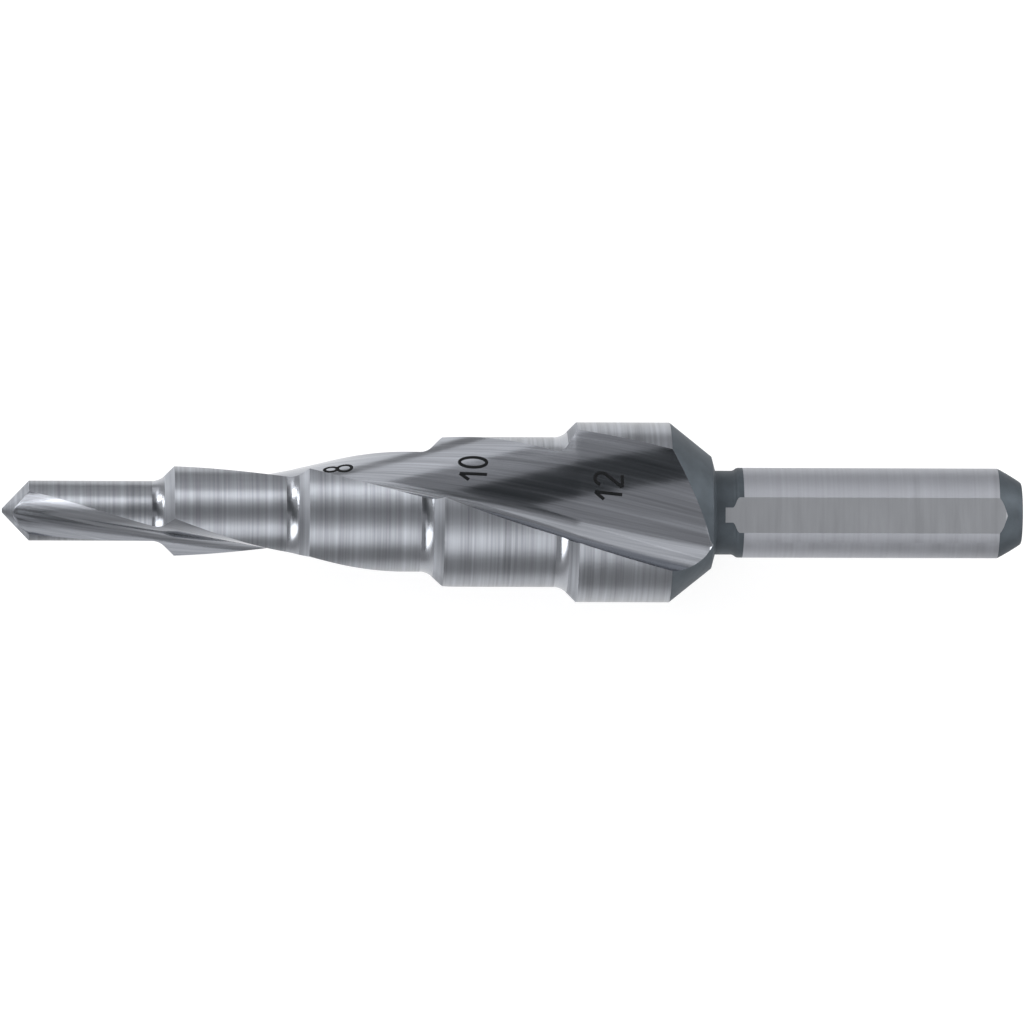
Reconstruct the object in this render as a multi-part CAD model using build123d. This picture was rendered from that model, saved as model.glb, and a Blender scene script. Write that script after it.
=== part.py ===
"""Step drill with five steps, two right-hand helical flutes and a three-flat shank.

The drill is one ground bar of high-speed steel.  It is built along +X from the
point to the shank, and then laid down as it comes to rest on a bench.
"""

import os
from math import acos, atan2, ceil, cos, pi, radians, sin, sqrt, tan

from build123d import *

# Point: a cone, whose tip is ground to a short chisel edge by two flat facets
POINT_ANGLE = 92.0
CHISEL_SETBACK = 0.13
CHISEL_ANGLE = 130.0
CHISEL_TURN = 50.0

# Steps, from the point backwards; a crest is the front edge of a step's full diameter
FIRST_DIAMETER = 4.0
STEP_RISE = 2.0
STEP_COUNT = 5
FIRST_CREST = 11.6
STEP_PITCH = 8.93
LAST_LAND = 6.21
SHOULDER_ANGLE = 45.0
SHOULDER_FILLET = 0.5

# Back of the largest step, and the neck
BACK_TAPER_ANGLE = 38.7
BACK_TAPER_DIAMETER = 7.5
NECK_FACE_ANGLE = 75.0
NECK_DIAMETER = 5.6
NECK_LENGTH = 1.05

# Shank
SHANK_DIAMETER = 6.0
SHANK_LENGTH = 18.9
SHANK_SHOULDER_ANGLE = 21.0
END_CHAMFER_ANGLE = 31.0
END_CHAMFER_LENGTH = 1.6
END_CHAMFER_CROWN = 0.03
END_EDGE_RADIUS = 0.2
FLAT_COUNT = 3
FLAT_FROM_AXIS = 2.755
FLAT_LEAD_IN = 1.0

# Flutes: each section is a hooked gullet arc that runs into a long convex back arc,
# and the helix slows from the thin point to the last step
FLUTE_COUNT = 2
FLUTE_LEAD_AT_POINT = 73.5
FLUTE_LEAD_AT_LAST_CREST = 109.3
FLUTE_PHASE = 15.95
CORE_RADIUS_AT_POINT = 0.78
CORE_RADIUS_AT_LAST_CREST = 3.68
CORE_RADIUS_AT_EXIT = 3.83
GULLET_RADIUS_AT_POINT = 1.13
GULLET_RADIUS_AT_LAST_CREST = 1.54
BACK_RADIUS_AT_POINT = 2.81
BACK_RADIUS_AT_LAST_CREST = 7.19
LIP_ALLOWANCE = 0.1
CUTTER_CLEARANCE = 0.5
CUTTER_LEAD_IN = 1.0
SECTION_SPACING = 4.0

# Lying on a bench: the angle from straight down to the cutting edge at the last crest
REST_TURN = 31.8

# Sizes that follow from the ones above
POINT_HALF_ANGLE = radians(POINT_ANGLE / 2)
FIRST_RADIUS = FIRST_DIAMETER / 2
LAST_RADIUS = FIRST_RADIUS + STEP_RISE / 2 * (STEP_COUNT - 1)
POINT_LENGTH = FIRST_RADIUS / tan(POINT_HALF_ANGLE)
LAST_CREST = FIRST_CREST + STEP_PITCH * (STEP_COUNT - 2)
LAND_END = LAST_CREST + LAST_LAND
TAPER_END = LAND_END + (LAST_RADIUS - BACK_TAPER_DIAMETER / 2) / tan(radians(BACK_TAPER_ANGLE))
NECK_START = TAPER_END + (BACK_TAPER_DIAMETER - NECK_DIAMETER) / 2 / tan(radians(NECK_FACE_ANGLE))
NECK_END = NECK_START + NECK_LENGTH
SHANK_START = NECK_END + (SHANK_DIAMETER - NECK_DIAMETER) / 2 / tan(radians(SHANK_SHOULDER_ANGLE))
SHANK_END = SHANK_START + SHANK_LENGTH
END_RADIUS = SHANK_DIAMETER / 2 - END_CHAMFER_LENGTH * tan(radians(END_CHAMFER_ANGLE))


def step_radius(step):
    """Radius of a step, counted from 0 at the point."""
    return FIRST_RADIUS + STEP_RISE / 2 * step


def step_crest(step):
    """Place of the front edge of a step's full diameter; step 0 starts at the point's corner."""
    if step == 0:
        return POINT_LENGTH
    return FIRST_CREST + STEP_PITCH * (step - 1)


def turned_blank():
    """The bar as it comes off the lathe and the cylindrical grinder."""
    shoulder_length = STEP_RISE / 2 / tan(radians(SHOULDER_ANGLE))
    bases = [(step_crest(step) - shoulder_length, step_radius(step - 1)) for step in range(1, STEP_COUNT)]
    crests = [(step_crest(step), step_radius(step)) for step in range(STEP_COUNT)]
    front = [(0, 0), crests[0]]
    for base, crest in zip(bases, crests[1:]):
        front += [base, crest]
    front += [
        (LAND_END, LAST_RADIUS),
        (TAPER_END, BACK_TAPER_DIAMETER / 2),
        (NECK_START, NECK_DIAMETER / 2),
        (NECK_END, NECK_DIAMETER / 2),
    ]

    # The neck sweeps up to the shank in two tangent arcs, and the end chamfer is slightly crowned.
    shank_radius = SHANK_DIAMETER / 2
    neck_sweep = ((NECK_END + SHANK_START) / 2, (NECK_DIAMETER / 2 + shank_radius) / 2)
    shank_corner = (SHANK_START, shank_radius)
    chamfer_start = (SHANK_END - END_CHAMFER_LENGTH, shank_radius)
    chamfer_end = (SHANK_END, END_RADIUS)
    outline = [
        Polyline(*front),
        TangentArc(front[-1], neck_sweep, tangent=(1, 0)),
        TangentArc(shank_corner, neck_sweep, tangent=(-1, 0)),
        Line(shank_corner, chamfer_start),
        SagittaArc(chamfer_start, chamfer_end, END_CHAMFER_CROWN),
        Polyline(chamfer_end, (SHANK_END, 0), front[0]),
    ]
    profile = make_face(outline)
    corners = profile.vertices()
    profile = fillet([corners.sort_by_distance(base)[0] for base in bases], SHOULDER_FILLET)
    profile = fillet(profile.vertices().sort_by_distance(chamfer_end)[0], END_EDGE_RADIUS)
    return revolve(profile, Axis.X)


def along_taper(x, at_point, at_last_crest, at_exit):
    """A flute size that grows evenly from the point to the last crest, and then to the flute's exit."""
    if x <= LAST_CREST:
        share = (x - POINT_LENGTH) / (LAST_CREST - POINT_LENGTH)
        return at_point + (at_last_crest - at_point) * share
    share = (x - LAST_CREST) / (NECK_START - LAST_CREST)
    return at_last_crest + (at_exit - at_last_crest) * share


def edge_angle(x):
    """Angle of the cutting edge about the axis, from the first flat, at distance x from the point.

    The twist per millimetre changes evenly from the point to the last crest, and is even from there on.
    """
    last_twist = 360 / FLUTE_LEAD_AT_LAST_CREST
    change = (360 / FLUTE_LEAD_AT_POINT - last_twist) / LAST_CREST
    ahead = max(0.0, LAST_CREST - x)
    return FLUTE_PHASE + last_twist * (x - LAST_CREST) - change / 2 * ahead**2


def flute_section(x):
    """The cutter's section: u runs out through the cutting edge, v runs across into the flute."""
    slope = (LAST_RADIUS - step_radius(1)) / (LAST_CREST - FIRST_CREST)
    crest_radius = LAST_RADIUS - slope * max(0.0, LAST_CREST - x)
    core = along_taper(x, CORE_RADIUS_AT_POINT, CORE_RADIUS_AT_LAST_CREST, CORE_RADIUS_AT_EXIT)
    gullet = along_taper(x, GULLET_RADIUS_AT_POINT, GULLET_RADIUS_AT_LAST_CREST, GULLET_RADIUS_AT_LAST_CREST)
    back = along_taper(x, BACK_RADIUS_AT_POINT, BACK_RADIUS_AT_LAST_CREST, BACK_RADIUS_AT_LAST_CREST)
    lip = crest_radius + LIP_ALLOWANCE
    outside = crest_radius + CUTTER_CLEARANCE

    # The gullet arc passes through the lip and touches the back arc from outside.
    back_u = core - back
    gullet_u = ((back + gullet) ** 2 - gullet**2 + lip**2 - back_u**2) / (2 * (lip - back_u))
    gullet_v = sqrt(gullet**2 - (lip - gullet_u) ** 2)
    touch = atan2(gullet_v, gullet_u - back_u)
    heel = acos((outside**2 - back_u**2 - back**2) / (2 * back_u * back))
    lip_turn = atan2(-gullet_v, lip - gullet_u)
    touch_turn = touch - pi
    middle_turn = (lip_turn + touch_turn) / 2
    heel_point = (back_u + back * cos(heel), back * sin(heel))
    closing = atan2(heel_point[1], heel_point[0]) / 2

    def on_back(turn):
        return (back_u + back * cos(turn), back * sin(turn))

    def on_gullet(turn):
        return (gullet_u + gullet * cos(turn), gullet_v + gullet * sin(turn))

    outline = [
        Line((outside, 0), (lip, 0)),
        ThreePointArc((lip, 0), on_gullet(middle_turn), on_back(touch)),
        ThreePointArc(on_back(touch), on_back((touch + heel) / 2), heel_point),
        ThreePointArc(heel_point, (outside * cos(closing), outside * sin(closing)), (outside, 0)),
    ]
    turn = radians(edge_angle(x))
    plane = Plane(origin=(x, 0, 0), x_dir=(0, -sin(turn), cos(turn)), z_dir=(-1, 0, 0))
    return plane * make_face(outline)


def flute_cutter():
    """One flute, swept along its helix from ahead of the point to behind the neck face."""
    start = -CUTTER_LEAD_IN
    end = NECK_START + CUTTER_CLEARANCE
    count = ceil((end - start) / SECTION_SPACING)
    return loft([flute_section(start + (end - start) * i / count) for i in range(count + 1)])


def flat_cutter(index):
    """A slab that grinds one flat on the shank, running a little way out over the neck."""
    length = SHANK_LENGTH + FLAT_LEAD_IN
    slab = Box(length, 2 * SHANK_DIAMETER, SHANK_DIAMETER, align=(Align.MIN, Align.CENTER, Align.MIN))
    slab = Pos(SHANK_START - FLAT_LEAD_IN, 0, FLAT_FROM_AXIS) * slab
    return Rot(360 * index / FLAT_COUNT, 0, 0) * slab


def chisel_facets():
    """The wedge that the chisel facets leave, with its ridge across the axis near the point."""
    length = 2 * SHANK_END
    wedge = Polyline(
        (CHISEL_SETBACK, 0),
        (CHISEL_SETBACK + length, length * tan(radians(CHISEL_ANGLE / 2))),
        (CHISEL_SETBACK + length, -length * tan(radians(CHISEL_ANGLE / 2))),
        close=True,
    )
    wedge = extrude(make_face(wedge), 2 * LAST_RADIUS, both=True)
    return Rot(edge_angle(0) + CHISEL_TURN, 0, 0) * wedge


def lay_down(body):
    """Turn the drill onto two of its edges, and put the middle of its base at the origin."""
    body = Rot(REST_TURN - edge_angle(LAST_CREST), 0, 0) * body
    box = body.bounding_box()
    return Pos(-box.center().X, -box.center().Y, -box.min.Z) * body


def drill():
    body = turned_blank() & chisel_facets()
    cutter = flute_cutter()
    for index in range(FLUTE_COUNT):
        body -= Rot(360 * index / FLUTE_COUNT, 0, 0) * cutter
    for index in range(FLAT_COUNT):
        body -= flat_cutter(index)
    return body


os.makedirs("parts", exist_ok=True)
step_drill = lay_down(drill())
export_step(step_drill, "parts/step_drill.step")
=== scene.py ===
"""Step drill: one ground bar of high-speed steel with size marks in its flute, lying on a pale floor."""

from math import acos, atan2, ceil, cos, pi, radians, sin, sqrt, tan

import bpy
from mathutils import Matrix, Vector


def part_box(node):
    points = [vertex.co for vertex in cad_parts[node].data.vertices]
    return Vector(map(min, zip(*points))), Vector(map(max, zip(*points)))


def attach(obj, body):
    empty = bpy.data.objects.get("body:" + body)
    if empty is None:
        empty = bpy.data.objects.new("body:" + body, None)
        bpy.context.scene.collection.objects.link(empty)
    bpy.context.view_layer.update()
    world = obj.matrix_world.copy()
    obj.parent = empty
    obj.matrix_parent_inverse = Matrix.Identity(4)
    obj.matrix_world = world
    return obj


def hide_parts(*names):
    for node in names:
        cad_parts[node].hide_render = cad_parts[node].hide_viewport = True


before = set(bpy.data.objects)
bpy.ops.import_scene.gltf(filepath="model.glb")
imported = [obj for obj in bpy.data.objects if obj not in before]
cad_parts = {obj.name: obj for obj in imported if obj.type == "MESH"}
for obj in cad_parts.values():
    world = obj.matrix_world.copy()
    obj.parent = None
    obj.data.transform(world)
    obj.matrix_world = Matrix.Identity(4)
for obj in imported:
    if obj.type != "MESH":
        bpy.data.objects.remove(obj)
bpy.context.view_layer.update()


# ---------------------------------------------------------------------------
# The drill.  It is turned and ground from one bar of high-speed steel.  Two
# flutes are ground along a slow right-hand helix, and three flats on the
# shank keep it from slipping in the chuck.  Sizes are in millimetres.
# ---------------------------------------------------------------------------
MM = 0.001

# Point: a cone, whose tip two flat facets grind to a short chisel edge
POINT_ANGLE = 92.0
CHISEL_SETBACK = 0.13
CHISEL_ANGLE = 130.0
CHISEL_TURN = 50.0

# Steps, from the point backwards; a crest is the front edge of a step's full diameter
FIRST_RADIUS = 2.0
STEP_RISE = 1.0
STEP_COUNT = 5
FIRST_CREST = 11.6
STEP_PITCH = 8.93
LAST_LAND = 6.21
SHOULDER_FILLET = 1.2

# Back of the largest step, and the neck
BACK_TAPER_ANGLE = 38.7
BACK_TAPER_RADIUS = 3.75
NECK_FACE_ANGLE = 75.0
NECK_RADIUS = 2.8
NECK_LENGTH = 1.05

# Shank; the grinding stops a little short of its shoulder
SHANK_RADIUS = 3.0
SHANK_LENGTH = 18.9
SHANK_SHOULDER_ANGLE = 21.0
UNGROUND_SHANK = 0.25
END_CHAMFER_ANGLE = 31.0
END_CHAMFER_LENGTH = 1.6
END_CHAMFER_CROWN = 0.03
END_EDGE_RADIUS = 0.2
FLAT_COUNT = 3
FLAT_FROM_AXIS = 2.755
FLAT_LEAD_IN = 1.0

# Flutes: a hooked gullet arc runs into a long convex back arc; both grow with the steps.
# Turns are in degrees, from straight up towards the near side, to the cutting edge at the last crest
# and to the first flat.
FLUTE_COUNT = 2
LEAD_AT_POINT, LEAD_AT_CREST = 73.5, 109.3
EDGE_TURN = 31.8
FLAT_TURN = 15.85
CORE_AT_POINT, CORE_AT_CREST, CORE_AT_EXIT = 0.78, 3.68, 3.83
GULLET_AT_POINT, GULLET_AT_CREST = 1.13, 1.54
BACK_AT_POINT, BACK_AT_CREST = 2.81, 7.19
LIP_ALLOWANCE = 0.1

# Sizes that follow from the ones above
LAST_RADIUS = FIRST_RADIUS + STEP_RISE * (STEP_COUNT - 1)
POINT_LENGTH = FIRST_RADIUS / tan(radians(POINT_ANGLE / 2))
LAST_CREST = FIRST_CREST + STEP_PITCH * (STEP_COUNT - 2)
LAND_END = LAST_CREST + LAST_LAND
TAPER_END = LAND_END + (LAST_RADIUS - BACK_TAPER_RADIUS) / tan(radians(BACK_TAPER_ANGLE))
NECK_START = TAPER_END + (BACK_TAPER_RADIUS - NECK_RADIUS) / tan(radians(NECK_FACE_ANGLE))
NECK_END = NECK_START + NECK_LENGTH
SHANK_START = NECK_END + (SHANK_RADIUS - NECK_RADIUS) / tan(radians(SHANK_SHOULDER_ANGLE))
SHANK_END = SHANK_START + SHANK_LENGTH
FLAT_START = SHANK_START - FLAT_LEAD_IN
END_RADIUS = SHANK_RADIUS - END_CHAMFER_LENGTH * tan(radians(END_CHAMFER_ANGLE))

# Where the drill lies: the frame gives its end and the height of its axis.
low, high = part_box("step_drill")
START_X = high[0] / MM - SHANK_END
AXIS_Z = (low[2] + high[2]) / 2 / MM

# How finely the outlines round the bar are divided: the gullet, back and land of each half
GULLET_PARTS, BACK_PARTS, LAND_PARTS = 24, 36, 48
FLUTE_PARTS = GULLET_PARTS + BACK_PARTS
HALF_PARTS = FLUTE_PARTS + LAND_PARTS
ROUND_PARTS = FLUTE_COUNT * LAND_PARTS
FLAT_PARTS = 12

# How finely the bar is divided along its axis; rings keep RING_GAP apart, and the chamfer and the
# flats stop END_GAP before the rounded end edge.
RING_SPACING = 0.25
RING_GAP = 0.01
ARC_PARTS = 8
CHAMFER_PARTS = 12
TIP_RINGS = 8
FACE_RINGS = 6
NECK_RINGS = 8
END_GAP = 0.05

# Points that agree to this many digits of a millimetre are one vertex.
MERGE_DIGITS = 5

# Finishes, in the order of the material list
LAND_GROUND, FLUTE_GROUND, FLAT_GROUND, UNGROUND, SHANK_GROUND, FILLET_GROUND = range(6)


def arc_points(center, radius, start, end, parts):
    """Points on an arc from one angle to another, both ends included."""
    turns = [start + (end - start) * i / parts for i in range(parts + 1)]
    return [(center[0] + radius * cos(t), center[1] + radius * sin(t)) for t in turns]


def shoulder_points(crest):
    """The fillet at the foot of a 45-degree shoulder, and the shoulder's crest."""
    radius = FIRST_RADIUS + STEP_RISE * round((crest - FIRST_CREST) / STEP_PITCH)
    tangent = SHOULDER_FILLET * tan(pi / 8)
    center = (crest - STEP_RISE - tangent, radius + SHOULDER_FILLET)
    return arc_points(center, SHOULDER_FILLET, -pi / 2, -pi / 4, ARC_PARTS) + [(crest, radius + STEP_RISE)]


def neck_sweep():
    """Two equal arcs that lead from the neck up to the shank."""
    turn = 2 * radians(SHANK_SHOULDER_ANGLE)
    radius = (SHANK_RADIUS - NECK_RADIUS) / 2 / (1 - cos(turn))
    rise = arc_points((NECK_END, NECK_RADIUS + radius), radius, -pi / 2, -pi / 2 + turn, ARC_PARTS)
    top = arc_points((SHANK_START, SHANK_RADIUS - radius), radius, pi / 2 + turn, pi / 2, ARC_PARTS)
    return rise + top[1:]


def end_chamfer():
    """The slightly crowned chamfer, and the small radius at the end face."""
    points = []
    for i in range(CHAMFER_PARTS + 1):
        share = i / CHAMFER_PARTS
        crown = 4 * END_CHAMFER_CROWN * share * (1 - share)
        x = SHANK_END - END_CHAMFER_LENGTH + END_CHAMFER_LENGTH * share
        points.append((x, SHANK_RADIUS + (END_RADIUS - SHANK_RADIUS) * share + crown))
    turn = radians(END_CHAMFER_ANGLE)
    tangent = END_EDGE_RADIUS * tan((pi / 2 - turn) / 2)
    before_edge = [p for p in points if p[0] < SHANK_END - tangent * cos(turn) - END_GAP]
    center = (SHANK_END - END_EDGE_RADIUS, END_RADIUS - tangent)
    return before_edge + arc_points(center, END_EDGE_RADIUS, pi / 2 - turn, 0, ARC_PARTS)


def bar_stations():
    """(x, radius, finish up to the next station) along the turned bar, closely spaced."""
    corners = [(0.0, 0.0, LAND_GROUND), (POINT_LENGTH, FIRST_RADIUS, LAND_GROUND)]
    for step in range(STEP_COUNT - 1):
        shoulder = shoulder_points(FIRST_CREST + STEP_PITCH * step)
        corners += [(x, r, FILLET_GROUND) for x, r in shoulder[:-2]]
        corners += [(x, r, LAND_GROUND) for x, r in shoulder[-2:]]
    corners += [
        (LAND_END, LAST_RADIUS, UNGROUND),
        (TAPER_END, BACK_TAPER_RADIUS, UNGROUND),
        (NECK_START, NECK_RADIUS, UNGROUND),
    ]
    corners += [(x, r, UNGROUND) for x, r in neck_sweep()]
    corners += [(SHANK_START + UNGROUND_SHANK, SHANK_RADIUS, SHANK_GROUND)]
    corners += [(x, r, UNGROUND) for x, r in end_chamfer()]
    stations = []
    for (x0, r0, finish), (x1, r1, _) in zip(corners, corners[1:]):
        parts = max(1, ceil(abs(x1 - x0) / RING_SPACING))
        stations += [(x0 + (x1 - x0) * i / parts, r0 + (r1 - r0) * i / parts, finish) for i in range(parts)]
    return stations + [corners[-1]]


def along_taper(x, at_point, at_crest, at_exit):
    """A flute size that grows evenly to the last crest, and then to the flute's exit."""
    if x <= LAST_CREST:
        return at_point + (at_crest - at_point) * (x - POINT_LENGTH) / (LAST_CREST - POINT_LENGTH)
    return at_crest + (at_exit - at_crest) * (x - LAST_CREST) / (NECK_START - LAST_CREST)


def flute_arcs(x):
    """The gullet's radius and centre, the back's radius and centre, and the angle where they touch.

    u runs out through the cutting edge and v across into the flute; the back's centre has v = 0.
    """
    slope = (LAST_RADIUS - FIRST_RADIUS - STEP_RISE) / (LAST_CREST - FIRST_CREST)
    lip = LAST_RADIUS - slope * max(0.0, LAST_CREST - x) + LIP_ALLOWANCE
    core = along_taper(x, CORE_AT_POINT, CORE_AT_CREST, CORE_AT_EXIT)
    gullet = along_taper(x, GULLET_AT_POINT, GULLET_AT_CREST, GULLET_AT_CREST)
    back = along_taper(x, BACK_AT_POINT, BACK_AT_CREST, BACK_AT_CREST)
    back_u = core - back
    gullet_u = ((back + gullet) ** 2 - gullet**2 + lip**2 - back_u**2) / (2 * (lip - back_u))
    gullet_v = sqrt(gullet**2 - (lip - gullet_u) ** 2)
    touch = atan2(gullet_v, gullet_u - back_u)
    return gullet, (gullet_u, gullet_v), back, back_u, touch


def polar(u, v):
    """A place as its distance and its angle from the axis."""
    return sqrt(u * u + v * v), atan2(v, u)


def least_radius(x):
    """How near the flute comes to the axis at x."""
    gullet, center, _, _, _ = flute_arcs(x)
    return sqrt(center[0] ** 2 + center[1] ** 2) - gullet


def half_outline(x, radius):
    """One flute and one land as (radius, angle, across) points.

    The angle grows from the cutting edge into the flute.  In the flute, across is measured
    from the line where the gullet meets the back, at the size of the last step.
    """
    gullet, center, back, back_u, touch = flute_arcs(x)
    reach, middle = polar(*center)
    if radius <= reach - gullet:
        lip_angle = heel_angle = middle
        heel_across = 0.0
        points = [(radius, middle, 0.0)] * FLUTE_PARTS
    else:
        spread = acos((radius**2 + reach**2 - gullet**2) / (2 * radius * reach))
        lip_angle = middle - spread
        start = atan2(radius * sin(lip_angle) - center[1], radius * cos(lip_angle) - center[0])
        touch_point = (back_u + back * cos(touch), back * sin(touch))
        if radius > polar(*touch_point)[0]:
            heel_angle = acos((radius**2 + back_u**2 - back**2) / (2 * radius * back_u))
            end = touch - pi
            heel = atan2(radius * sin(heel_angle), radius * cos(heel_angle) - back_u)
        else:
            heel_angle = middle + spread
            end = atan2(radius * sin(heel_angle) - center[1], radius * cos(heel_angle) - center[0])
            heel = None
        if start > 0:
            start -= 2 * pi
        if end > 0:
            end -= 2 * pi
        gullet_arc = arc_points(center, gullet, start, end, GULLET_PARTS)
        points = [polar(*p) + (GULLET_AT_CREST * (end - start) * (1 - i / GULLET_PARTS),)
                  for i, p in enumerate(gullet_arc)]
        if heel is None:
            heel_across = 0.0
            points += [points[-1]] * (BACK_PARTS - 1)
        else:
            heel_across = BACK_AT_CREST * (heel - touch)
            back_arc = arc_points((back_u, 0), back, touch, heel, BACK_PARTS)
            points += [polar(*p) + (heel_across * i / BACK_PARTS,)
                       for i, p in enumerate(back_arc)][1:-1]
    span = pi + lip_angle - heel_angle
    land = [(radius, heel_angle + span * i / LAND_PARTS, None) for i in range(1, LAND_PARTS)]
    return points + [(radius, heel_angle, heel_across)] + land


def whole_outline(x, radius):
    """The outline with both flutes: one half, and the same half turned by 180 degrees."""
    half = half_outline(x, radius)
    return half + [(r, angle + pi, across) for r, angle, across in half]


def round_outline(x, radius):
    """A plain circle, divided as the lands are."""
    return [p for i, p in enumerate(whole_outline(x, radius)) if i % HALF_PARTS >= FLUTE_PARTS]


def chord_outline(radius, distance, count, turn, chord_parts):
    """A circle with flat sides at a distance from its centre; the first side faces the angle turn."""
    half = acos(min(1.0, distance / radius)) if radius > 0 else 0.0
    arc_parts = ROUND_PARTS // count - chord_parts
    width = radius * sin(half)
    points = []
    for side in range(count):
        facing = turn + side * 2 * pi / count
        for i in range(chord_parts):
            r, angle = polar(min(distance, radius * cos(half)), width * (2 * i / chord_parts - 1))
            points.append((r, facing + angle, None))
        for i in range(arc_parts):
            points.append((radius, facing + half + (2 * pi / count - 2 * half) * i / arc_parts, None))
    return points


def spread_out(outline):
    """Gives an outline without flutes the places of one with flutes, by repeating a point."""
    result = []
    for i in range(FLUTE_COUNT):
        part = outline[i * LAND_PARTS : (i + 1) * LAND_PARTS]
        result += [part[0]] * FLUTE_PARTS + part
    return result


def blended(a, b, share, radius):
    """Points on a circle, between two layouts of the same number of points."""
    return [(radius, p[1] + (q[1] - p[1]) * share, None) for p, q in zip(a, b)]


def begin_near(outline, angle):
    """How far an outline is turned round so that it begins nearest to an angle."""
    def gap(k):
        return abs((outline[k][1] - angle + pi) % (2 * pi) - pi)
    return min(range(len(outline)), key=gap)


def turned_round(outline, first):
    """The same closed outline from another start, with angles that keep growing."""
    return outline[first:] + [(r, angle + 2 * pi, across) for r, angle, across in outline[:first]]


def near(outline, like):
    """The same points, with whole turns taken off so that the first lies near another outline's."""
    shift = 2 * pi * round((outline[0][1] - like[0][1]) / (2 * pi))
    return [(r, angle - shift, across) for r, angle, across in outline]


def crossing(difference, start, end, halvings=50):
    """Where a function of x changes sign."""
    rising = difference(end) > difference(start)
    for _ in range(halvings):
        middle = (start + end) / 2
        if (difference(middle) > 0) == rising:
            end = middle
        else:
            start = middle
    return (start + end) / 2


def edge_angle(x):
    """Angle of the cutting edge about the axis, from straight up, in the twisted drill."""
    change = (2 * pi / LEAD_AT_POINT - 2 * pi / LEAD_AT_CREST) / LAST_CREST
    ahead = max(0.0, LAST_CREST - x)
    return radians(EDGE_TURN) + 2 * pi * (x - LAST_CREST) / LEAD_AT_CREST - change / 2 * ahead**2


def cone_radius(x):
    return x * tan(radians(POINT_ANGLE / 2))


def facet_distance(x):
    return (x - CHISEL_SETBACK) * tan(radians(CHISEL_ANGLE / 2))


def neck_face_radius(x):
    return BACK_TAPER_RADIUS - (x - TAPER_END) * tan(radians(NECK_FACE_ANGLE))


def facet_outline(x, radius):
    turn = edge_angle(x) - edge_angle(0) - radians(CHISEL_TURN) - pi / 2
    return chord_outline(radius, facet_distance(x), 2, turn, LAND_PARTS // 2)


def flat_outline(radius):
    turn = edge_angle(NECK_START) - radians(FLAT_TURN)
    return chord_outline(radius, FLAT_FROM_AXIS, FLAT_COUNT, turn, FLAT_PARTS)


# Rings of points along the bar, each (x, outline, finish up to the next ring), before the twist
rings = []
FACETS_END = crossing(lambda x: facet_distance(x) - cone_radius(x), CHISEL_SETBACK, POINT_LENGTH)
FLUTE_START = crossing(lambda x: cone_radius(x) - least_radius(x), FACETS_END, POINT_LENGTH)
FLUTE_END = crossing(lambda x: neck_face_radius(x) - least_radius(x), TAPER_END, NECK_START)

# Chisel facets at the very tip, and the bare cone up to where the flutes begin
start_outline = round_outline(FLUTE_START, cone_radius(FLUTE_START))
first = begin_near(facet_outline(FACETS_END, cone_radius(FACETS_END)), start_outline[0][1])
for i in range(TIP_RINGS + 1):
    x = CHISEL_SETBACK + (FACETS_END - CHISEL_SETBACK) * i / TIP_RINGS
    facets = near(turned_round(facet_outline(x, cone_radius(x)), first), start_outline)
    rings.append((x, spread_out(facets), LAND_GROUND))
for i in range(1, TIP_RINGS):
    x = FACETS_END + (FLUTE_START - FACETS_END) * i / TIP_RINGS
    cone = blended(facets, start_outline, i / TIP_RINGS, cone_radius(x))
    rings.append((x, spread_out(cone), LAND_GROUND))

# The fluted length; the flutes run out on the neck's face, which gets rings of its own
fluted = [(FLUTE_START, cone_radius(FLUTE_START), LAND_GROUND)]
fluted += [station for station in bar_stations()
           if FLUTE_START + RING_GAP < station[0] < TAPER_END - RING_GAP]
for start, end in ((TAPER_END, FLUTE_END), (FLUTE_END, NECK_START)):
    for i in range(FACE_RINGS):
        x = start + (end - start) * i / FACE_RINGS
        fluted.append((x, neck_face_radius(x), UNGROUND))
rings += [(x, whole_outline(x, radius), finish) for x, radius, finish in fluted]

# The neck, where the points move over to the layout of the flats, and then the shank
neck_outline = round_outline(NECK_START, NECK_RADIUS)
first = begin_near(flat_outline(NECK_RADIUS), neck_outline[0][1])
flat_layout = near(turned_round(flat_outline(NECK_RADIUS), first), neck_outline)
for i in range(NECK_RINGS + 1):
    x = NECK_START + (FLAT_START - NECK_START) * i / NECK_RINGS
    neck = blended(neck_outline, flat_layout, i / NECK_RINGS, NECK_RADIUS)
    rings.append((x, spread_out(neck), UNGROUND))
shank_first_ring = len(rings) - 1
rings.append((FLAT_START, spread_out(flat_layout), UNGROUND))
for x, radius, finish in bar_stations():
    if x > FLAT_START + RING_GAP:
        shank = near(turned_round(flat_outline(radius), first), neck_outline)
        rings.append((x, spread_out(shank), finish))
rings.append((SHANK_END, [(0.0, 0.0, None)] * (FLUTE_COUNT * HALF_PARTS), UNGROUND))
on_flat = [(k + first) % (ROUND_PARTS // FLAT_COUNT) < FLAT_PARTS for k in range(ROUND_PARTS)]

# The mesh of the straight blank
places, vertex_of = [], {}
faces, face_finish, corner_grain = [], [], []


def vertex(x, point):
    """The number of the vertex at a point of a ring; points in one place share it."""
    r, angle, _ = point
    place = (START_X + x, r * sin(angle), AXIS_Z + r * cos(angle))
    key = tuple(round(c, MERGE_DIGITS) for c in place)
    if key not in vertex_of:
        vertex_of[key] = len(places)
        places.append([c * MM for c in place])
    return vertex_of[key]


def grain(x, point, in_flute):
    """Where a corner lies along the bar, and across its flute or round the bar, in millimetres."""
    r, angle, across = point
    if in_flute:
        return x, across or 0.0
    return x, (angle - edge_angle(min(x, NECK_START))) * r


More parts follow.
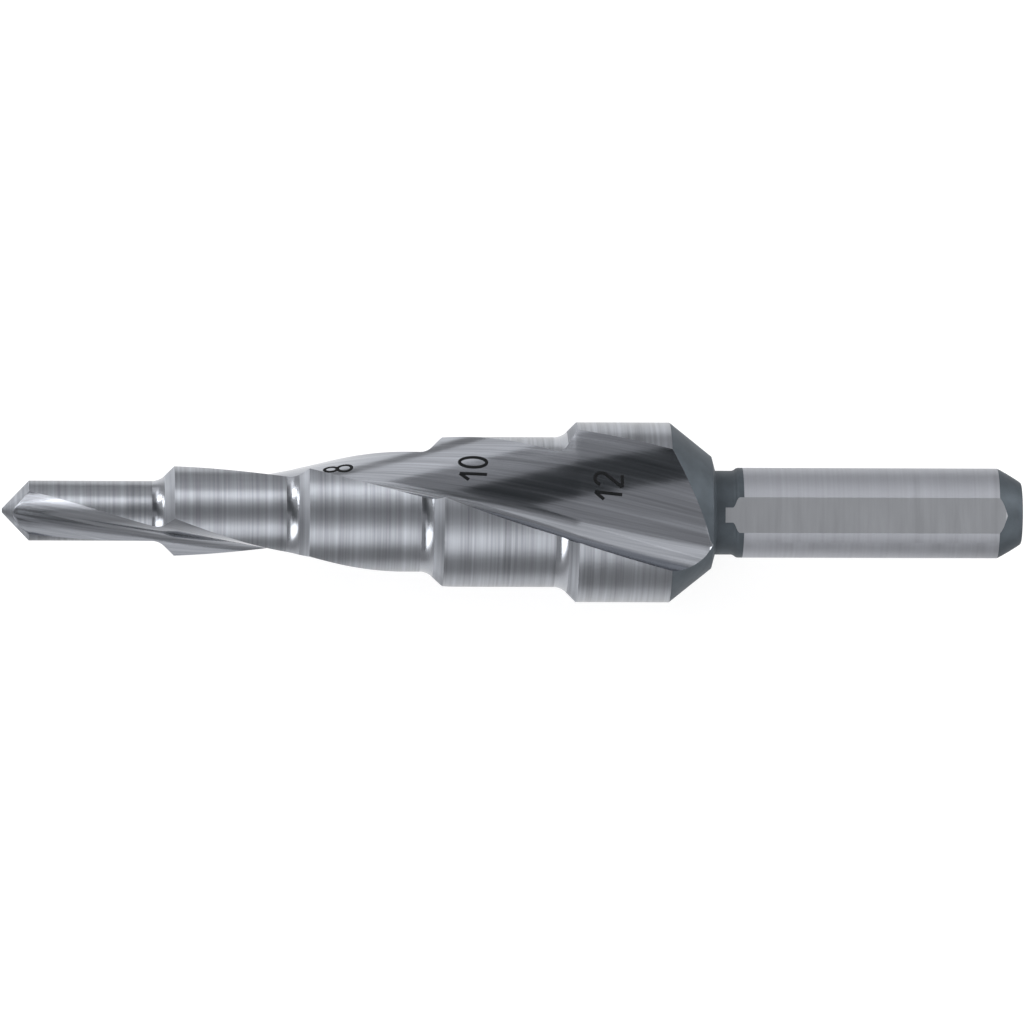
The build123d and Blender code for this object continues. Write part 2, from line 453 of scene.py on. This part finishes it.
# Each ring ends with its first point again, a whole turn on, so that the grain has no jump inside a face.
rings = [(x, outline + [(outline[0][0], outline[0][1] + 2 * pi, outline[0][2])], finish)
         for x, outline, finish in rings]
ring_vertices = [[vertex(x, p) for p in outline] for x, outline, _ in rings]
for row in range(len(rings) - 1):
    x0, outline0, finish = rings[row]
    x1, outline1, _ = rings[row + 1]
    for k in range(FLUTE_COUNT * HALF_PARTS):
        half, place = divmod(k, HALF_PARTS)
        in_flute = place < FLUTE_PARTS
        corners = []
        for ring, x, outline, j in ((row, x0, outline0, k), (row + 1, x1, outline1, k),
                                    (row + 1, x1, outline1, k + 1), (row, x0, outline0, k + 1)):
            index = ring_vertices[ring][j]
            if index not in [c[0] for c in corners]:
                corners.append((index, grain(x, outline[j], in_flute)))
        if len(corners) < 3:
            continue
        if in_flute:
            face_finish.append(FLUTE_GROUND)
        elif (row >= shank_first_ring and x0 < SHANK_END - END_GAP
              and on_flat[half * LAND_PARTS + place - FLUTE_PARTS]):
            face_finish.append(FLAT_GROUND)
        else:
            face_finish.append(finish)
        faces.append([c[0] for c in corners])
        corner_grain += [c[1] for c in corners]

blank_mesh = bpy.data.meshes.new("drill_body")
blank_mesh.from_pydata(places, [], faces)
blank_mesh.attributes.new("finish", "INT", "FACE").data.foreach_set("value", face_finish)
grain_map = blank_mesh.uv_layers.new(name="grain")
for loop, pair in zip(grain_map.data, corner_grain):
    loop.uv = pair
blank = bpy.data.objects.new("drill_body", blank_mesh)
bpy.context.scene.collection.objects.link(blank)


def add_node(tree, kind, inputs=(), **settings):
    """Adds a node. Each input is a value, a socket, or a node whose first output it takes."""
    node = tree.nodes.new(kind)
    for name, value in settings.items():
        setattr(node, name, value)
    for name, value in dict(inputs).items():
        if isinstance(value, bpy.types.Node):
            value = value.outputs[0]
        if isinstance(value, bpy.types.NodeSocket):
            tree.links.new(value, node.inputs[name])
        else:
            node.inputs[name].default_value = value
    return node


def linear(colour):
    """A linear colour from an sRGB hex value."""
    parts = [int(colour[i : i + 2], 16) / 255 for i in (1, 3, 5)]
    return tuple(c / 12.92 if c <= 0.04045 else ((c + 0.055) / 1.055) ** 2.4 for c in parts) + (1.0,)


def new_material(name):
    """An empty material, and its tree."""
    material = bpy.data.materials.new(name)
    material.use_nodes = True
    material.node_tree.nodes.clear()
    return material, material.node_tree


def streaks(tree, place, scale, detail=3.0):
    """A noise pattern with a scale of its own along each coordinate, so that it can be drawn out."""
    stretched = add_node(tree, "ShaderNodeMapping", {"Vector": place, "Scale": scale})
    return add_node(tree, "ShaderNodeTexNoise", {"Vector": stretched, "Scale": 1.0, "Detail": detail})


# Nearly all of a noise pattern's values lie in this range.
NOISE_VALUES = {"From Min": 0.35, "From Max": 0.65}


def mottled(tree, colour, pattern, contrast):
    """A colour that a pattern makes darker and lighter, each by up to the contrast."""
    shade = add_node(tree, "ShaderNodeMapRange",
                     NOISE_VALUES | {"Value": pattern, "To Min": 1 - contrast, "To Max": 1 + contrast})
    return add_node(tree, "ShaderNodeVectorMath", {0: linear(colour)[:3], "Scale": shade}, operation="SCALE")


# Grinding marks are lines in the grain map, fine and broad ones, each as lines per millimetre along
# the bar and across that.  Real ones are about 0.02 mm wide, too fine to show, so they are drawn
# about 0.2 and 0.7 mm wide, and from 3 mm long on the flats to 25 mm round the lands.
ROUND_MARKS = (5.0, 0.06, 1.0), (1.5, 0.04, 1.0)
FLAT_MARKS = (5.0, 0.3, 1.0), (1.5, 0.2, 1.0)
HELIX_MARKS = (0.12, 6.0, 1.0), (0.05, 1.6, 1.0)
MARK_DEPTH = 0.01
ROUGHNESS_SPREAD = 0.04


def ground_steel(name, colour, roughness, contrast, bump, marks, anisotropic):
    """Ground high-speed steel, whose marks make it uneven in colour, height and roughness."""
    material, tree = new_material(name)
    place = add_node(tree, "ShaderNodeUVMap", uv_map="grain")
    fine_lines, broad_lines = [streaks(tree, place, scale) for scale in marks]
    # Sockets 0, 2 and 3 are the share and the two numbers that are mixed.
    lines = add_node(tree, "ShaderNodeMix", {0: 0.5, 2: fine_lines, 3: broad_lines}, data_type="FLOAT")
    uneven = NOISE_VALUES | {"Value": broad_lines, "To Min": roughness - ROUGHNESS_SPREAD,
                             "To Max": roughness + ROUGHNESS_SPREAD}
    surface = add_node(tree, "ShaderNodeBsdfPrincipled", {
        "Base Color": mottled(tree, colour, lines, contrast),
        "Metallic": 1.0,
        "Roughness": add_node(tree, "ShaderNodeMapRange", uneven),
        "Anisotropic": anisotropic,
        "Tangent": add_node(tree, "ShaderNodeTangent", direction_type="UV_MAP", uv_map="grain"),
        "Normal": add_node(tree, "ShaderNodeBump",
                           {"Height": lines, "Strength": bump, "Distance": MARK_DEPTH * MM}),
    })
    add_node(tree, "ShaderNodeOutputMaterial", {"Surface": surface})
    return material


# The skin's clouds are about 1.1 mm wide, and barely raised.
SKIN_CLOUDS_PER_METRE = 900.0
SKIN_DETAIL = 6.0


def hardened_skin(name, colour):
    """The thin oxide that the hardening bath leaves on steel: half metal, half dull skin."""
    material, tree = new_material(name)
    place = add_node(tree, "ShaderNodeTexCoord").outputs["Object"]
    clouds = streaks(tree, place, (SKIN_CLOUDS_PER_METRE,) * 3, SKIN_DETAIL)
    surface = add_node(tree, "ShaderNodeBsdfPrincipled", {
        "Base Color": mottled(tree, colour, clouds, contrast=0.1),
        "Metallic": 0.7,
        "Roughness": 0.6,
        "Normal": add_node(tree, "ShaderNodeBump",
                           {"Height": clouds, "Strength": 0.3, "Distance": MARK_DEPTH * MM}),
    })
    add_node(tree, "ShaderNodeOutputMaterial", {"Surface": surface})
    return material


STEEL = "#a5a8ae"
finishes = [
    # Lands, ground round the axis: satin, and each light is drawn out into a band along the bar
    ground_steel("ground_steel_lands", "#9fa2a8", roughness=0.45, contrast=0.30, bump=1.0,
                 marks=ROUND_MARKS, anisotropic=0.9),
    # Flutes, ground along the helix by a fine wheel: nearly a mirror, dark or bright, with long streaks
    ground_steel("ground_steel_flutes", STEEL, roughness=0.18, contrast=0.20, bump=0.4,
                 marks=HELIX_MARKS, anisotropic=0.0),
    # Flats of the shank, ground across: an even, dull grey
    ground_steel("ground_steel_flats", "#a2a4a8", roughness=0.48, contrast=0.06, bump=0.1,
                 marks=FLAT_MARKS, anisotropic=0.0),
    # Neck, back taper and end chamfer, left as they were hardened: dull blue-grey with faint clouds
    hardened_skin("hardened_steel_skin", "#4f565c"),
    # Shank, ground round: paler and softer than the lands, with faint marks
    ground_steel("ground_steel_shank", "#a8aab0", roughness=0.55, contrast=0.08, bump=0.1,
                 marks=ROUND_MARKS, anisotropic=0.4),
    # Fillets, ground by the wheel's rounded corner: smooth enough for each light to be a small bright spot
    ground_steel("ground_steel_fillets", STEEL, roughness=0.26, contrast=0.05, bump=0.1,
                 marks=ROUND_MARKS, anisotropic=0.3),
]


def new_growth(name, sizes):
    """A Geometry Nodes tree with an input for each named size, and its inputs' sockets."""
    tree = bpy.data.node_groups.new(name, "GeometryNodeTree")
    tree.interface.new_socket("Geometry", in_out="OUTPUT", socket_type="NodeSocketGeometry")
    tree.interface.new_socket("Geometry", in_out="INPUT", socket_type="NodeSocketGeometry")
    for size in sizes:
        tree.interface.new_socket(size, in_out="INPUT", socket_type="NodeSocketFloat")
    return tree, add_node(tree, "NodeGroupInput").outputs


def grown(piece, tree, sizes, name):
    """The plain mesh that a Geometry Nodes tree makes from a piece, as a new object."""
    modifier = piece.modifiers.new("grow", "NODES")
    modifier.node_group = tree
    sockets = {item.name: item.identifier for item in tree.interface.items_tree if item.in_out == "INPUT"}
    for socket, value in sizes.items():
        modifier[sockets[socket]] = value
    shaped = piece.evaluated_get(bpy.context.evaluated_depsgraph_get())
    mesh = bpy.data.meshes.new_from_object(shaped)
    piece.modifiers.remove(modifier)
    bpy.data.objects.remove(piece)
    mesh.name = name
    result = bpy.data.objects.new(name, mesh)
    bpy.context.scene.collection.objects.link(result)
    return result


# The helix: every point of the blank turns about the axis with its distance from the point, by the
# rule of edge_angle.  The twist slows evenly to the last crest, is even from there, and ends at the neck.
twist_sizes = {
    "Lead at Point": LEAD_AT_POINT * MM,
    "Lead at Last Crest": LEAD_AT_CREST * MM,
    "Turn at Last Crest": radians(EDGE_TURN),
    "Point": START_X * MM,
    "Last Crest": (START_X + LAST_CREST) * MM,
    "Twist End": (START_X + NECK_START) * MM,
    "Axis Height": AXIS_Z * MM,
}
twist, size_of = new_growth("helical_twist", twist_sizes)
position = add_node(twist, "GeometryNodeInputPosition")
along = add_node(twist, "ShaderNodeSeparateXYZ", {0: position}).outputs["X"]
twisted_to = add_node(twist, "ShaderNodeMath", {0: along, 1: size_of["Twist End"]}, operation="MINIMUM")
from_crest = add_node(twist, "ShaderNodeMath", {0: twisted_to, 1: size_of["Last Crest"]},
                      operation="SUBTRACT")
last_twist = add_node(twist, "ShaderNodeMath", {0: 2 * pi, 1: size_of["Lead at Last Crest"]},
                      operation="DIVIDE")
first_twist = add_node(twist, "ShaderNodeMath", {0: 2 * pi, 1: size_of["Lead at Point"]}, operation="DIVIDE")
slowing = add_node(twist, "ShaderNodeMath", {0: first_twist, 1: last_twist}, operation="SUBTRACT")
slowing_over = add_node(twist, "ShaderNodeMath", {0: size_of["Last Crest"], 1: size_of["Point"]},
                        operation="SUBTRACT")
change = add_node(twist, "ShaderNodeMath", {0: slowing, 1: slowing_over}, operation="DIVIDE")
half_change = add_node(twist, "ShaderNodeMath", {0: change, 1: -0.5}, operation="MULTIPLY")
ahead = add_node(twist, "ShaderNodeMath", {0: from_crest, 1: 0.0}, operation="MINIMUM")
ahead_squared = add_node(twist, "ShaderNodeMath", {0: ahead, 1: ahead}, operation="MULTIPLY")
extra_turn = add_node(twist, "ShaderNodeMath", {0: ahead_squared, 1: half_change}, operation="MULTIPLY")
even_turn = add_node(twist, "ShaderNodeMath",
                     {0: from_crest, 1: last_twist, 2: size_of["Turn at Last Crest"]},
                     operation="MULTIPLY_ADD")
whole_turn = add_node(twist, "ShaderNodeMath", {0: even_turn, 1: extra_turn}, operation="ADD")
axis = add_node(twist, "ShaderNodeCombineXYZ", {"Z": size_of["Axis Height"]})
turned = add_node(twist, "ShaderNodeVectorRotate", {"Vector": position, "Center": axis, "Angle": whole_turn},
                  rotation_type="X_AXIS")
geometry = add_node(twist, "GeometryNodeSetPosition", {"Geometry": size_of["Geometry"], "Position": turned})
geometry = add_node(twist, "GeometryNodeRealizeInstances", {"Geometry": geometry})
finish_is = add_node(twist, "GeometryNodeInputNamedAttribute", {"Name": "finish"}, data_type="INT")
for number, material in enumerate(finishes):
    chosen = add_node(twist, "FunctionNodeCompare", {2: finish_is, 3: number}, data_type="INT",
                      operation="EQUAL")
    geometry = add_node(twist, "GeometryNodeSetMaterial", {"Geometry": geometry, "Selection": chosen,
                                                           "Material": material})
add_node(twist, "NodeGroupOutput", {"Geometry": geometry})

# Edges that turn by more than this many degrees are sharp.
SHARP_FROM = 17.0
drill = grown(blank, twist, twist_sizes, "step_drill_body")
drill.data.polygons.foreach_set("use_smooth", [True] * len(drill.data.polygons))
drill.data.set_sharp_from_angle(angle=radians(SHARP_FROM))
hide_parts("step_drill")
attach(drill, "root")


# ---------------------------------------------------------------------------
# The size marks.  A laser writes each large step's diameter in millimetres on
# the back of its flute, and leaves a dark oxide in fine strokes.  The digits
# stand across the drill, with their tops towards the point.
# ---------------------------------------------------------------------------
DIGIT_WIDTH, DIGIT_HEIGHT, DIGIT_PITCH = 0.8, 1.8, 1.1
STROKE_WIDTH, STROKE_THICKNESS, STROKE_PROUD = 0.22, 0.03, 0.01
STROKE_SPACING = 0.12
OVAL_PARTS = 24

# Forms of the digits: a bowl's half height as a share of the digit's height, the 8's upper bowl as
# shares of its lower one, where the 1's flag ends, and where the 2's curve starts and ends in degrees
BOWL_SHARE = 0.26
UPPER_BOWL_WIDTH, UPPER_BOWL_HEIGHT = 0.8, 0.9
FLAG_REACH, FLAG_FOOT = 0.6, 0.67
CURVE_START, CURVE_END = 165.0, -25.0

# Where a mark stands: behind its step's crest, and across the flute, which is wider on each larger step
FIRST_MARKED_STEP = 2
MARK_SETBACK = 2.88
MARK_ACROSS, MARK_ACROSS_PER_STEP = 1.15, 0.59
MARK_SLANT = 0.12


def oval(up, half_width, half_height, start=0.0, end=360.0):
    """An oval stroke, or a part of one, round a centre on the digit's middle line."""
    turns = [radians(start + (end - start) * i / OVAL_PARTS) for i in range(OVAL_PARTS + 1)]
    return [(half_width * cos(t), up + half_height * sin(t)) for t in turns]


def digit_strokes(digit):
    """The strokes of a digit, as (across, up) points from the middle of its foot."""
    side, top = DIGIT_WIDTH / 2, DIGIT_HEIGHT
    bowl = BOWL_SHARE * DIGIT_HEIGHT
    upper_bowl = UPPER_BOWL_HEIGHT * bowl
    strokes = {
        "0": [oval(top / 2, side, top / 2)],
        "1": [[(side / 2, 0.0), (side / 2, top)], [(side / 2, top), (-side * FLAG_REACH, top * FLAG_FOOT)]],
        "2": [oval(top - bowl, side, bowl, CURVE_START, CURVE_END) + [(-side, 0.0)],
              [(-side, 0.0), (side, 0.0)]],
        "8": [oval(bowl, side, bowl), oval(top - upper_bowl, UPPER_BOWL_WIDTH * side, upper_bowl)],
    }
    return strokes[digit]


def divided(stroke):
    """The stroke with more points on its straight runs, so that it can follow the steel."""
    points = []
    for (across0, up0), (across1, up1) in zip(stroke, stroke[1:]):
        parts = max(1, ceil(sqrt((across1 - across0) ** 2 + (up1 - up0) ** 2) / STROKE_SPACING))
        points += [(across0 + (across1 - across0) * i / parts, up0 + (up1 - up0) * i / parts)
                   for i in range(parts)]
    return points + [stroke[-1]]


def flute_back(x, across):
    """A place on the back of the near flute; across is measured round it from where the gullet ends."""
    _, _, back, back_u, touch = flute_arcs(x)
    turn = touch + across / back
    r, angle = polar(back_u + back * cos(turn), back * sin(turn))
    angle -= edge_angle(x)
    return Vector((START_X + x, r * sin(angle), AXIS_Z + r * cos(angle))) * MM


def way_out(x, across, nudge=0.01):
    """The direction straight out of the steel at a place on the back of the near flute."""
    along_back = flute_back(x + nudge, across) - flute_back(x - nudge, across)
    round_back = flute_back(x, across + nudge) - flute_back(x, across - nudge)
    return along_back.cross(round_back).normalized()


stroke_places, stroke_edges, stroke_facing = [], [], []
for step in range(FIRST_MARKED_STEP, STEP_COUNT):
    size = str(round(2 * (FIRST_RADIUS + STEP_RISE * step)))
    foot = FIRST_CREST + STEP_PITCH * (step - 1) + MARK_SETBACK
    middle = MARK_ACROSS + MARK_ACROSS_PER_STEP * (step - FIRST_MARKED_STEP)
    for number, digit in enumerate(size):
        digit_middle = middle + DIGIT_PITCH * (number - (len(size) - 1) / 2)
        for stroke in digit_strokes(digit):
            begin = len(stroke_places)
            for from_middle, up in divided(stroke):
                across = digit_middle + from_middle + MARK_SLANT * (DIGIT_HEIGHT / 2 - up)
                facing = way_out(foot - up, across)
                lift = (STROKE_PROUD - STROKE_THICKNESS / 2) * MM
                stroke_places.append(flute_back(foot - up, across) + facing * lift)
                stroke_facing += list(facing)
            stroke_edges += [(k, k + 1) for k in range(begin, len(stroke_places) - 1)]

strokes_mesh = bpy.data.meshes.new("mark_strokes")
strokes_mesh.from_pydata(stroke_places, stroke_edges, [])
strokes_mesh.attributes.new("facing", "FLOAT_VECTOR", "POINT").data.foreach_set("vector", stroke_facing)
strokes = bpy.data.objects.new("mark_strokes", strokes_mesh)
bpy.context.scene.collection.objects.link(strokes)

# Laser oxide on steel: a matt blue-black that is a little uneven, so it stays dark in any light.
# Its mottle is about 0.07 mm wide.
MOTTLE_PER_METRE = 14000.0
oxide, tree = new_material("laser_oxide")
place = add_node(tree, "ShaderNodeTexCoord").outputs["Object"]
mottle = streaks(tree, place, (MOTTLE_PER_METRE,) * 3)
surface = add_node(tree, "ShaderNodeBsdfPrincipled", {
    "Base Color": mottled(tree, "#0e1012", mottle, contrast=0.4),
    "Metallic": 0.0,
    "Roughness": 0.8,
    "Specular IOR Level": 0.2,
})
add_node(tree, "ShaderNodeOutputMaterial", {"Surface": surface})

# Each stroke is a flat band that follows the steel, only just proud of it.
stroke_sizes = {"Stroke Width": STROKE_WIDTH * MM, "Thickness": STROKE_THICKNESS * MM}
etched, size_of = new_growth("etched_strokes", stroke_sizes)
line = add_node(etched, "GeometryNodeMeshToCurve", {"Mesh": size_of["Geometry"]})
facing = add_node(etched, "GeometryNodeInputNamedAttribute", {"Name": "facing"}, data_type="FLOAT_VECTOR")
line = add_node(etched, "GeometryNodeSetCurveNormal", {"Curve": line, "Normal": facing}, mode="FREE")
band = add_node(etched, "GeometryNodeCurvePrimitiveQuadrilateral",
                {"Width": size_of["Thickness"], "Height": size_of["Stroke Width"]})
geometry = add_node(etched, "GeometryNodeCurveToMesh",
                    {"Curve": line, "Profile Curve": band, "Fill Caps": True})
geometry = add_node(etched, "GeometryNodeRealizeInstances", {"Geometry": geometry})
geometry = add_node(etched, "GeometryNodeSetMaterial", {"Geometry": geometry, "Material": oxide})
add_node(etched, "NodeGroupOutput", {"Geometry": geometry})

marks = grown(strokes, etched, stroke_sizes, "size_marks")
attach(marks, "root")


# ---------------------------------------------------------------------------
# The floor, a matt white board.  It shows white with the drill's shadow.  In
# the steel it shows a painted pool of light round the drill, a glow that only
# glossy rays see, so that the mirrored floor darkens towards its edges.
# ---------------------------------------------------------------------------
FLOOR_HALF_SIZE = 2.0
FLOOR_GLOW = 0.8
POOL_MIDDLE = (5.0, 8.0)
POOL_RADIUS = (38.46, 20.0)
POOL_FULL_TO, POOL_NONE_FROM = 0.85, 1.25

floor_mesh = bpy.data.meshes.new("floor")
floor_corners = [(x * FLOOR_HALF_SIZE, y * FLOOR_HALF_SIZE, 0)
                 for x, y in ((-1, -1), (1, -1), (1, 1), (-1, 1))]
floor_mesh.from_pydata(floor_corners, [], [(0, 1, 2, 3)])
floor = bpy.data.objects.new("floor", floor_mesh)
bpy.context.scene.collection.objects.link(floor)

board, tree = new_material("floor_white")
ray = add_node(tree, "ShaderNodeLightPath").outputs
place = add_node(tree, "ShaderNodeTexCoord").outputs["Object"]
from_pool_middle = add_node(tree, "ShaderNodeMapping", {
    "Vector": place,
    "Location": [-middle / radius for middle, radius in zip(POOL_MIDDLE, POOL_RADIUS)] + [0.0],
    "Scale": [1 / (radius * MM) for radius in POOL_RADIUS] + [1.0],
})
reach = add_node(tree, "ShaderNodeVectorMath", {0: from_pool_middle}, operation="LENGTH").outputs["Value"]
# A painted pool of light: the floor glows round the drill, for glossy rays only
pool = add_node(tree, "ShaderNodeMapRange", {
    "Value": reach,
    "From Min": POOL_FULL_TO,
    "From Max": POOL_NONE_FROM,
    "To Min": FLOOR_GLOW,
    "To Max": 0.0,
})
in_steel = add_node(tree, "ShaderNodeMath", {0: ray["Is Glossy Ray"], 1: pool}, operation="MULTIPLY")
glow = add_node(tree, "ShaderNodeMath", {0: ray["Is Camera Ray"], 1: FLOOR_GLOW, 2: in_steel},
                operation="MULTIPLY_ADD")
matt = add_node(tree, "ShaderNodeBsdfDiffuse", {"Color": linear("#9c9c9c")})
light = add_node(tree, "ShaderNodeEmission", {"Color": linear("#ffffff"), "Strength": glow})
total = add_node(tree, "ShaderNodeAddShader", {0: matt, 1: light})
add_node(tree, "ShaderNodeOutputMaterial", {"Surface": total})
floor.data.materials.append(board)


# ---------------------------------------------------------------------------
# The camera.  It looks down on the drill through a long lens, a little from
# the side of its point.  Turns are in degrees about the drill's axis.
# ---------------------------------------------------------------------------
AXIS_POINT = (0.0, 0.0, AXIS_Z * MM)
VIEW_TURN = 12.55
VIEW_YAW = 2.6
VIEW_DISTANCE = 1.0
FRAME_PIXELS, PIXELS_PER_MM = 1024, 15
CAMERA_ROLL = 0.175


def aim(thing, turn, yaw, distance):
    """Puts a camera, a lamp or a card over the drill, facing it, turned about the axis and then sideways."""
    thing.rotation_euler = (radians(turn), 0, 0)
    thing.rotation_euler.rotate_axis("Y", radians(yaw))
    thing.location = Vector(AXIS_POINT) + thing.rotation_euler.to_matrix() @ Vector((0, 0, distance))


camera_data = bpy.data.cameras.new("camera")
camera_data.sensor_fit = "HORIZONTAL"
camera_data.angle = 2 * atan2(FRAME_PIXELS / 2 / PIXELS_PER_MM * MM, VIEW_DISTANCE)
camera = bpy.data.objects.new("camera", camera_data)
bpy.context.scene.collection.objects.link(camera)
aim(camera, VIEW_TURN, -VIEW_YAW, VIEW_DISTANCE)
camera.rotation_euler.rotate_axis("Z", radians(CAMERA_ROLL))
bpy.context.scene.camera = camera


# ---------------------------------------------------------------------------
# The lamps and cards.  Softboxes on both long sides give the steel its bright
# bands, small lamps its sparks, and dark cards that only the steel shows give
# its flutes their shade.
# ---------------------------------------------------------------------------
LIGHT_DISTANCE = 0.6
CARD_DISTANCE = 0.5
POINT_CARD_DISTANCE = 0.12


def soft_light(name, across, along, width, length, radiance):
    """A softbox; its place and its size are angles seen from the drill, across the axis and along it."""
    data = bpy.data.lights.new(name, "AREA")
    data.shape = "RECTANGLE"
    data.size = 2 * LIGHT_DISTANCE * tan(radians(length / 2))
    data.size_y = 2 * LIGHT_DISTANCE * tan(radians(width / 2))
    data.energy = radiance * pi * data.size * data.size_y
    lamp = bpy.data.objects.new(name, data)
    bpy.context.scene.collection.objects.link(lamp)
    aim(lamp, VIEW_TURN - across, along, LIGHT_DISTANCE)


soft_light("near_softbox_left", -60, -43, 34, 44, 3.4)
soft_light("near_softbox_right", -60, 50, 34, 30, 3.4)
soft_light("near_spark", -34, -27, 22, 12, 1.6)
soft_light("far_softbox_left", 52, -54, 18, 40, 8.8)
soft_light("far_softbox_right", 52, 57, 18, 32, 8.8)
soft_light("far_spark", 68, -29, 28, 13, 1.6)
soft_light("right_fill_near", -26, 19, 72, 24, 0.55)
soft_light("right_fill_far", 44, 18, 68, 22, 0.5)
soft_light("left_fill", 104, -14, 64, 38, 0.62)

# Dark grey card, without any shine
card_paint, tree = new_material("card_dark_grey")
matt = add_node(tree, "ShaderNodeBsdfDiffuse", {"Color": linear("#45484a")})
add_node(tree, "ShaderNodeOutputMaterial", {"Surface": matt})


def dark_card(name, across, along, width, length, distance=CARD_DISTANCE, beside=0.0):
    """A dark card, given as a softbox is, that may be moved beside the drill's middle."""
    mesh = bpy.data.meshes.new(name)
    x, y = (distance * tan(radians(size / 2)) for size in (length, width))
    mesh.from_pydata([(-x, -y, 0), (x, -y, 0), (x, y, 0), (-x, y, 0)], [], [(0, 1, 2, 3)])
    mesh.materials.append(card_paint)
    card = bpy.data.objects.new(name, mesh)
    bpy.context.scene.collection.objects.link(card)
    aim(card, VIEW_TURN - across, along, distance)
    card.location.x += beside
    card.visible_camera = card.visible_diffuse = card.visible_shadow = False


dark_card("dark_card_top", 17, -17, 38, 30)
dark_card("dark_card_left", 8, -53, 54, 42)
dark_card("dark_card_far", 50, -4, 34, 8)
dark_card("dark_card_low", 78, 0, 36, 6)
dark_card("dark_card_point", -52, -6, 54, 12, POINT_CARD_DISTANCE, START_X * MM)


# ---------------------------------------------------------------------------
# The room.  An even grey lights the drill and shows in its steel, and the
# camera sees plain white behind it.
# ---------------------------------------------------------------------------
world = bpy.data.worlds.new("studio")
bpy.context.scene.world = world
world.use_nodes = True
tree = world.node_tree
tree.nodes.clear()
seen = add_node(tree, "ShaderNodeLightPath").outputs["Is Camera Ray"]
grey = add_node(tree, "ShaderNodeBackground", {"Color": linear("#a6a6a8"), "Strength": 1.0})
white = add_node(tree, "ShaderNodeBackground", {"Color": linear("#ffffff"), "Strength": 1.0})
mixed = add_node(tree, "ShaderNodeMixShader", {0: seen, 1: grey, 2: white})
add_node(tree, "ShaderNodeOutputWorld", {"Surface": mixed})

bpy.context.scene.view_settings.view_transform = "Standard"
